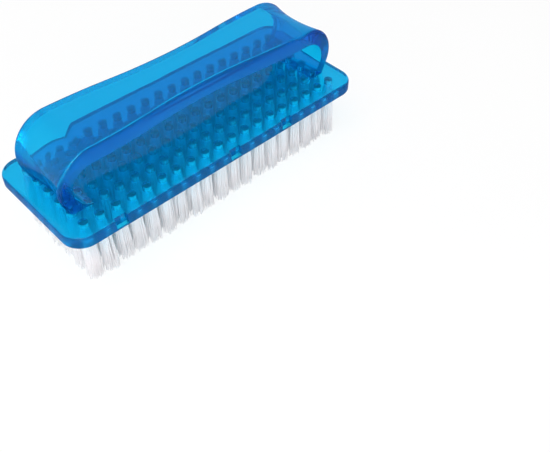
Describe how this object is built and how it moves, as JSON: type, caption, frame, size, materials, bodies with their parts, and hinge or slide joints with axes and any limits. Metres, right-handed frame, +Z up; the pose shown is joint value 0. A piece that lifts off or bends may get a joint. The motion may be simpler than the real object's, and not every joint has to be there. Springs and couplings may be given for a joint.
{
  "type": "nail brush",
  "caption": "Hand brush for nails: a rounded plate with tufts of nylon bristles below and a waisted loop handle above, moulded in clear blue plastic.",
  "frame": {"origin": "under the middle of the brush, on the plane of the bristle tips", "axes": "+X along the brush, to the right end as seen from its notched side; +Y away from the notched side; +Z up from the bristles to the handle"},
  "size_m": [0.095, 0.036, 0.036],
  "materials": {
    "body_plastic": "clear blue tinted, polished",
    "bristle_nylon": "milky nylon filaments",
    "anchor_wire": "bright drawn flat wire"
  },
  "bodies": {
    "root": {"brush_body": "body_plastic", "tuft_column_01": "bristle_nylon", "tuft_column_02": "bristle_nylon", "tuft_column_03": "bristle_nylon", "tuft_column_04": "bristle_nylon", "tuft_column_05": "bristle_nylon", "tuft_column_06": "bristle_nylon", "tuft_column_07": "bristle_nylon", "tuft_column_08": "bristle_nylon", "tuft_column_09": "bristle_nylon", "tuft_column_10": "bristle_nylon", "tuft_column_11": "bristle_nylon", "tuft_column_12": "bristle_nylon", "tuft_column_13": "bristle_nylon", "tuft_column_14": "bristle_nylon", "tuft_column_15": "bristle_nylon", "tuft_column_16": "bristle_nylon", "tuft_column_17": "bristle_nylon", "tuft_column_18": "bristle_nylon", "tuft_column_19": "bristle_nylon", "anchor_column_01": "anchor_wire", "anchor_column_02": "anchor_wire", "anchor_column_03": "anchor_wire", "anchor_column_04": "anchor_wire", "anchor_column_05": "anchor_wire", "anchor_column_06": "anchor_wire", "anchor_column_07": "anchor_wire", "anchor_column_08": "anchor_wire", "anchor_column_09": "anchor_wire", "anchor_column_10": "anchor_wire", "anchor_column_11": "anchor_wire", "anchor_column_12": "anchor_wire", "anchor_column_13": "anchor_wire", "anchor_column_14": "anchor_wire", "anchor_column_15": "anchor_wire", "anchor_column_16": "anchor_wire", "anchor_column_17": "anchor_wire", "anchor_column_18": "anchor_wire", "anchor_column_19": "anchor_wire"}
  },
  "joints": []
}
